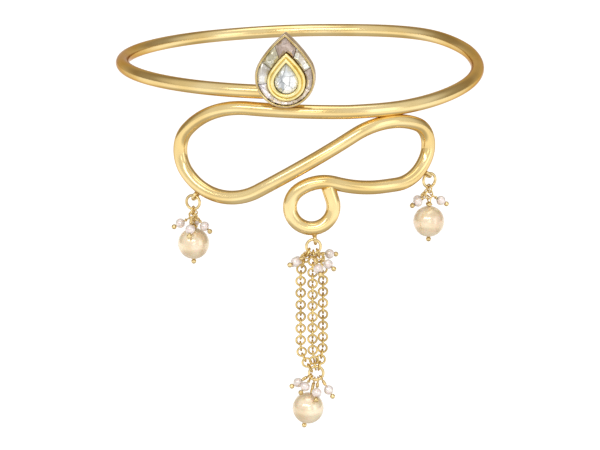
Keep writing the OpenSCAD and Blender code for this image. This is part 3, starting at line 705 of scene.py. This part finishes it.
def hang(inner_r, inner_wire, outer_wire):
    """How far the middle of a wire can hang below the middle of the ring that it is in."""
    return inner_r - inner_wire / 2 - outer_wire / 2 - HANG_GAP


def pin_hang(wire):
    return hang(LOOP_R, PIN_WIRE, wire) / 2


def seed_reach(wire):
    return pin_hang(wire) + LOOP_R + WRAP_L + SEED_D / 2 + HANG_GAP


def add_bead(shape, d, reach, place, seed, uneven):
    """A drilled bead, a little uneven, at reach below the place."""
    r = d / 2
    start = asin(BORE_D / 2 / r)
    rows, around = (44, 64) if d > SEED_D else (24, 36)
    lats = [start + (pi - 2 * start) * i / rows for i in range(rows + 1)]
    drift = Vector((seed, seed * 1.7, -seed))

    def at(lat, a):
        way = polar(sin(lat), a, cos(lat))
        return way * r * (1 + uneven * noise.noise(way * 1.3 + drift))
    outside = [[at(lat, a) for a in circle(around)] for lat in lats]
    bore = [[polar(BORE_D / 2, a, z) for a in circle(around)] for z in (-r * 0.93, r * 0.93)]
    shape.skin(outside + bore, place @ move(0, 0, -reach), closed=True)


def add_pin(shape, wire, reach, bead_d, wrap_d, place):
    """A headpin: loop, shaft, wrapped wire and ball, hanging down its own -Z."""
    drop = pin_hang(wire)
    end = reach + bead_d / 2 + HANG_GAP / 2 + BALL_D / 2
    top = drop + LOOP_R
    r = PIN_WIRE / 2
    shape.torus(LOOP_D, PIN_WIRE, place @ move(0, 0, -drop) @ turn_y(90), 32, 12)
    shape.tube([Vector((0, 0, z)) for z in (-top + 0.05, -end)], r,
               lambda p: Vector((1, 0, 0)), 12, place)
    low = reach - bead_d / 2 - HANG_GAP
    big = wrap_d > WRAP_D  # a cone of heavier wire, over a pearl
    thick = 0.19 if big else r * 0.98
    pitch, narrowing = thick * 2.04, 0.25
    turns = (low - top - thick * 2) / pitch + (0 if big else 0.5)
    steps = int(turns * 16)
    coil = []
    for k in range(steps + 1):
        share = k / steps
        swell = 1 - narrowing * (1 - share) if big else 1
        coil.append(polar((wrap_d / 2 - thick) * swell, 2 * pi * turns * share,
                          -top - thick - (low - top - 2 * thick) * share))
    shape.tube(coil, thick, lambda p: Vector((0, 0, 1)), 10, place)
    if big:
        shape.tube([Vector((0, 0, z)) for z in (-top - 0.1, -low + 0.1)],
                   [wrap_d * 0.3, wrap_d * 0.4], lambda p: Vector((1, 0, 0)), 16, place)
    shape.ball(BALL_D / 2, place @ move(0, 0, -end))


def leaning(v, deg):
    a = radians(deg)
    return Vector((v[0] * cos(a) - v[2] * sin(a), v[1], v[0] * sin(a) + v[2] * cos(a)))


def on_holder(holder, at, lean, front):
    """Turns a pin so that -Z is its lean and X lies along its holder's wire."""
    centre, tilt, edge_on, round_r, _ = holder
    a = radians(at)
    out, along = (((0, -sin(a), -cos(a)), (0, -cos(a), sin(a))) if edge_on
                  else ((sin(a), 0, -cos(a)), (cos(a), 0, sin(a))))
    point, along = Vector(centre) + round_r * leaning(out, tilt), leaning(along, tilt)
    l, fr = radians(lean), radians(front)
    up = -Vector((sin(l) * cos(fr), -sin(fr), -cos(l) * cos(fr)))
    x = (along - up * along.dot(up)).normalized()
    return Matrix.Translation(point) @ Matrix((x, up.cross(x), up)).transposed().to_4x4()


RING_HANG = hang(EYE_R, EYE_WIRE, RING_WIRE) / 4 + RING_R


def drop_place(at, lean, share):
    """Middle of the jump ring in an eye, turned by a share of the eye's angle round the arm."""
    deg = arm_deg(bend_at(*at)[0]) * share
    return (Matrix.Translation(eye_centre(at)) @ turn_z(deg)
            @ move(RING_HANG * sin(radians(lean)), 0, -RING_HANG * cos(radians(lean))))


LEFT, RIGHT = drop_place(LEFT_EYE, -22, 0.6), drop_place(RIGHT_EYE, 25, 0.75)
TASSEL = drop_place(TASSEL_EYE, -12, 0.5)
FIRST_LINK = RING_R + hang(LINK_R, LINK_WIRE, RING_WIRE)
LINK_PITCH = LINK_D - 2 * LINK_WIRE - HANG_GAP
SECOND_LINK = FIRST_LINK + LINK_PITCH
# Rings that hold pins: middle, tilt, whether seen edge-on, radius and wire
SIDE_HOLDERS = [
    ((0, 0, -SECOND_LINK), 0, False, LINK_R, LINK_WIRE),
    ((0, 0, -FIRST_LINK), 0, True, LINK_R, LINK_WIRE)]


# Rings and links, set on points by a node tree
def ring_tree():
    """Rings of round wire at each point, turned by the points' own attribute."""
    tree = bpy.data.node_groups.new("rings_on_points", "GeometryNodeTree")
    tree.is_modifier = True
    new_socket = tree.interface.new_socket
    sockets = {name: new_socket(name=name, in_out="INPUT", socket_type="NodeSocket" + kind)
               for name, kind in (("Points", "Geometry"), ("Width", "Float"), ("Wire", "Float"),
                                  ("Around", "Int"), ("Sides", "Int"), ("Finish", "Material"))}
    new_socket(name="Rings", in_out="OUTPUT", socket_type="NodeSocketGeometry")
    nodes = Nodes(tree)

    def add(kind, settings=None, **feeds):
        """A node of geometry, and its first output."""
        feeds = {key.replace("_", " "): value for key, value in feeds.items()}
        return nodes.add(kind, settings, feeds).outputs[0]
    given = nodes.add("NodeGroupInput").outputs
    width, wire = Value(nodes, given["Width"]), Value(nodes, given["Wire"])
    ring = add("GeometryNodeCurvePrimitiveCircle", Resolution=given["Around"],
               Radius=(width - wire) * 0.5)
    round_wire = add("GeometryNodeCurvePrimitiveCircle", Resolution=given["Sides"],
                     Radius=wire * 0.5)
    link = add("GeometryNodeCurveToMesh", Curve=ring, Profile_Curve=round_wire)
    turn = add("GeometryNodeInputNamedAttribute", {"data_type": "FLOAT_VECTOR"}, Name="turn")
    rotation = add("FunctionNodeEulerToRotation", Euler=turn)
    placed = add("GeometryNodeInstanceOnPoints", Points=given["Points"], Instance=link,
                 Rotation=rotation)
    real = add("GeometryNodeRealizeInstances", Geometry=placed)
    dressed = add("GeometryNodeSetMaterial", Geometry=real, Material=given["Finish"])
    nodes.add("NodeGroupOutput", None, {0: dressed})
    return tree, {name: socket.identifier for name, socket in sockets.items()}


RING_TREE, RING_INPUTS = ring_tree()


def rings_piece(name, places, width, wire, finish, nodes, around, sides):
    points = bpy.data.meshes.new(name + "_points")
    points.from_pydata([p.to_translation() * MM for p in places], [], [])
    turn = points.attributes.new("turn", "FLOAT_VECTOR", "POINT")
    turn.data.foreach_set("vector", [c for p in places for c in p.to_euler()])
    carrier = bpy.data.objects.new(name + "_points", points)
    bpy.context.scene.collection.objects.link(carrier)
    made = carrier.modifiers.new("rings", "NODES")
    made.node_group = RING_TREE
    for key, value in (("Width", width * MM), ("Wire", wire * MM), ("Around", around),
                       ("Sides", sides), ("Finish", finish)):
        made[RING_INPUTS[key]] = value
    depsgraph = bpy.context.evaluated_depsgraph_get()
    mesh = bpy.data.meshes.new_from_object(carrier.evaluated_get(depsgraph), depsgraph=depsgraph)
    carrier.modifiers.clear()
    bpy.data.objects.remove(carrier)
    mesh.name = name
    return dress(mesh, name, finish, nodes, crease=80)


def build_side_drop(side, place, seeds):
    rings_piece(side + "_jump_ring", [place @ turn_x(90)], RING_D, RING_WIRE, PIN,
                [side + "_ring"], 56, 18)
    rings_piece(side + "_drop_links", [place @ move(0, 0, -FIRST_LINK) @ turn_y(90),
                                       place @ move(0, 0, -SECOND_LINK) @ turn_x(90)],
                LINK_D, LINK_WIRE, PIN, [side + "_links"], 36, 12)
    bead = Shape()
    add_bead(bead, PEARL_D, PEARL_DROP, place, len(side) * 2.3, 0.012)
    bead.piece(side + "_pearl_bead", GOLDEN, "golden_pearl", [side + "_pearl"], crease=60)
    pin = Shape()
    add_pin(pin, LINK_WIRE, PEARL_DROP - SECOND_LINK - LINK_R, PEARL_D, COIL_D,
            place @ on_holder(SIDE_HOLDERS[0], 0, 0, 0))
    pin.piece(side + "_pearl_headpin", PIN, "gold", [side + "_pearl_pin"], crease=60)
    build_seeds(side, place, SIDE_HOLDERS, seeds)


def build_seeds(name, place, holders, seeds):
    pins = Shape()
    for k, (holder, at, lean, front, extra) in enumerate(seeds):
        h = holders[holder]
        here = place @ on_holder(h, at, lean, front)
        reach = seed_reach(h[4]) + extra * SEED_D
        add_pin(pins, h[4], reach, SEED_D, WRAP_D, here)
        bead = Shape()
        add_bead(bead, SEED_D, reach, here, k * 3.1 + len(name), 0.03)
        seed = f"{name}_seed_{k + 1}"
        bead.piece(seed + "_bead", WHITE, "white_pearl", [seed], crease=60)
    pins.piece(name + "_seed_headpins", PIN, "gold", [name + "_seed_pins"], crease=60)


# Holder, place round it, lean, lean to the front, extra length as a share of SEED_D
LEFT_SEEDS = [(0, -70, -58, 8, 0), (0, 70, 52, 8, 0), (1, 56, 8, 36, 0.6), (1, -60, -14, -36, 0.4)]
RIGHT_SEEDS = [(0, -72, -68, 6, 0), (0, 70, 58, 6, 0), (1, -60, -28, -32, 0.4)]
TOP_SEEDS = [(0, 48, -72, 36, 0.38), (2, -70, 79, -28, 0.2), (1, 85, 24, 52, 0.6),
             (2, 46, 54, 28, 0.1), (0, -58, -42, -34, 0.5)]
BOTTOM_SEEDS = [(0, -70, -55, -10, 0.35), (0, -46, -40, 26, 0), (0, 14, -8, 38, 0.33),
                (0, 44, 32, 10, 0.35)]

# Strands: degrees on the upper and on the lower ring, place across and behind as shares
STRANDS = [(-45, -52, -1, 0.2), (-2, -8, -0.08, -0.5), (36, 24, 0.77, 0.45)]
SIDE_FLARE, BACK_FLARE = 4.6, 2.2
PLAY = hang(LINK_R, LINK_WIRE, RING_WIRE) * 0.8
FIRST_TWO = PLAY + LINK_PITCH


def side_lean(s, at, ring_x):
    """Angle at which a strand's first two links lean out from the ring."""
    across = s[2] * TASSEL_W - ring_x - RING_R * sin(radians(at))
    return atan(2 * across / (SIDE_FLARE + 2 * FIRST_TWO))


def end_link(s, at, ring_x, k):
    side = side_lean(s, at, ring_x)
    back = atan(2 * s[3] * TASSEL_T / (BACK_FLARE + 2 * FIRST_TWO))
    start = Vector((ring_x + RING_R * sin(radians(at)), 0, -RING_R * cos(radians(at))))
    way = Vector((sin(side) * cos(back), sin(back), -cos(side) * cos(back)))
    return start + (PLAY + k * LINK_PITCH) * way


def lower_end(s, k):
    p = end_link(s, s[1], TASSEL_SWAY, k)
    return Vector((p.x, p.y, -TASSEL_L - p.z))


def strand_centres(s):
    a, b = end_link(s, s[0], 0, 1), lower_end(s, 1)

    def flared(start, to, along, flare):
        return start + (to - start) * (1 - (1 - min(along / flare, 1)) ** 2)

    def point(u):
        z = a.z + (b.z - a.z) * u
        start, along = (a if u < 0.5 else b), min(a.z - z, z - b.z)
        return Vector((flared(start.x, s[2] * TASSEL_W, along, SIDE_FLARE),
                       flared(start.y, s[3] * TASSEL_T, along, BACK_FLARE), z))
    fine = [point(k / 60) for k in range(61)]
    whole = sum((q - p).length for p, q in zip(fine, fine[1:]))
    gaps = 2 * ceil(whole / (2 * LINK_PITCH))
    middle = resampled(fine, [whole * k / gaps for k in range(gaps + 1)])
    return [end_link(s, s[0], 0, 0)] + middle + [lower_end(s, 0)]


def build_strand(number, s):
    centres = strand_centres(s)
    last = len(centres) - 1
    places = []
    for k, c in enumerate(centres):
        d = (centres[min(k + 1, last)] - centres[max(k - 1, 0)]).normalized()
        places.append(TASSEL @ Matrix.Translation(c) @ turn_y(-degrees(atan2(d.x, -d.z)))
                      @ turn_x(degrees(asin(d.y))) @ (turn_x(90) if k % 2 else turn_y(90)))
    # Heavier wire than in the solids, whose links keep a gap for play: these just clear each other
    wire, clear = 0.5, 0.02
    rings_piece(f"chain_strand_{number}", places, LINK_PITCH + 2 * wire + clear, wire, CHAIN_GOLD_SHADED,
                [f"chain_{number}"], 28, 10)


def build_tassel():
    lower = Vector((TASSEL_SWAY, 0, -TASSEL_L))
    for name, node, middle in (("tassel_upper_jump_ring", "tassel_top_ring", Vector((0, 0, 0))),
                               ("tassel_lower_jump_ring", "tassel_bottom_ring", lower)):
        rings_piece(name, [TASSEL @ Matrix.Translation(middle) @ turn_x(90)], RING_D, RING_WIRE,
                    PIN, [node], 56, 18)
    for k, s in enumerate(STRANDS):
        build_strand(k + 1, s)
    top = [(end_link(s, s[0], 0, 0), degrees(side_lean(s, s[0], 0)), True, LINK_R, LINK_WIRE)
           for s in STRANDS]
    bottom = [(lower, 0, False, RING_R, RING_WIRE)]
    build_seeds("top", TASSEL, top, TOP_SEEDS)
    build_seeds("bottom", TASSEL, bottom, BOTTOM_SEEDS)
    here = TASSEL @ on_holder(bottom[0], -15, -12, 0)
    bead = Shape()
    add_bead(bead, PEARL_D, TASSEL_PEARL_DROP - RING_R, here, 7.7, 0.012)
    bead.piece("tassel_pearl_bead", GOLDEN, "golden_pearl", ["tassel_pearl"], crease=60)
    pin = Shape()
    add_pin(pin, RING_WIRE, TASSEL_PEARL_DROP - RING_R, PEARL_D, WRAP_D, here)
    pin.piece("tassel_pearl_headpin", PIN, "gold", ["tassel_pearl_pin"], crease=60)


build_wire()
build_eyes()
build_setting()
build_centre_stone()
for stone_number in range(len(BORDER_CUTS)):
    build_border_stone(stone_number)
build_side_drop("left", LEFT, LEFT_SEEDS)
build_side_drop("right", RIGHT, RIGHT_SEEDS)
build_tassel()


# Studio
def build_studio():
    """Floor, world, lamps and camera, in metres."""
    scene = bpy.context.scene
    floor_r, floor_z = 5, -0.3
    mesh = bpy.data.meshes.new("studio_floor")
    mesh.from_pydata([polar(floor_r, a, floor_z) for a in circle(64)], [], [range(64)])
    floor = bpy.data.objects.new("studio_floor", mesh)
    scene.collection.objects.link(floor)
    paper = Finish("floor_paper", Emission_Strength=0.75, Specular_IOR_Level=0.1)
    tooth = paper.noise(0.02, 4)
    # Painted shade: a greyer round under the piece, where the floor glows less, which shades the
    # piece's underside
    away = paper.add("ShaderNodeVectorMath", {"operation": "LENGTH"},
                     {0: paper.stretched((1, 1, 0))})
    far = Value(paper, away.outputs["Value"]).between(0.22, 0.5)
    paper.set(Base_Color=paper.blend(tooth, (0.50, 0.50, 0.50), (0.54, 0.54, 0.54)),
              Roughness=0.8 + tooth * 0.15,
              Emission_Color=paper.blend(far, (0.20, 0.18, 0.15), (1, 1, 1)))
    mesh.materials.append(paper.material)

    world = scene.world or bpy.data.worlds.new("studio")
    scene.world = world
    world.use_nodes = True
    world.node_tree.nodes.clear()
    sky = Nodes(world.node_tree)
    way = sky.add("ShaderNodeTexCoord").outputs["Generated"]
    front = sky.add("ShaderNodeVectorMath", {"operation": "DOT_PRODUCT"},
                    {0: way, 1: (0.0, -0.45, 0.25)})
    ramp = sky.add("ShaderNodeValToRGB", None, {0: Value(sky, front.outputs["Value"]) + 0.5})
    # Share of the way from behind to the front, and the world's colour there
    for i, (share, colour) in enumerate((
            (0.13, (1.0, 0.98, 0.94)), (0.3, (0.40, 0.34, 0.26)), (0.45, (0.42, 0.37, 0.29)),
            (0.62, (0.96, 0.94, 0.91)), (0.9, (1.0, 1.0, 1.0)))):
        stop = ramp.color_ramp.elements[i] if i < 2 else ramp.color_ramp.elements.new(share)
        stop.position, stop.color = share, (*colour, 1)
    glow = sky.add("ShaderNodeBackground", None, {0: ramp.outputs[0], 1: 0.85})
    sky.add("ShaderNodeOutputWorld", None, {0: glow.outputs[0]})

    aim = Vector((0, 0, -0.035))
    # Soft boxes: place, width and height in metres, watts
    for name, place, width, height, watts in (
            ("key", (-0.2, -0.75, 0.5), 0.9, 0.12, 1.9),
            ("fill", (0.75, -0.6, 0.15), 0.35, 0.6, 0.5),
            ("top", (0.05, -0.05, 0.8), 0.6, 0.45, 0.9),
            ("front", (0.1, -1.0, 0.12), 0.25, 0.25, 0.25)):
        lamp = bpy.data.lights.new(name, "AREA")
        lamp.shape, lamp.size, lamp.size_y, lamp.energy = "RECTANGLE", width, height, watts
        light = bpy.data.objects.new(name, lamp)
        light.location = place
        light.rotation_euler = (aim - Vector(place)).to_track_quat("-Z", "Y").to_euler()
        scene.collection.objects.link(light)

    camera = bpy.data.objects.new("camera", bpy.data.cameras.new("camera"))
    camera.data.sensor_width, camera.data.lens = 36, 131.7
    camera.data.clip_start = 0.01
    look, distance, tilt = Vector((0, 0, -0.0426)), 0.56, radians(14)
    camera.location = look + distance * Vector((0, -cos(tilt), sin(tilt)))
    camera.rotation_euler = (look - camera.location).to_track_quat("-Z", "Y").to_euler()
    scene.collection.objects.link(camera)
    scene.camera = camera
    scene.view_settings.view_transform = "Standard"


build_studio()
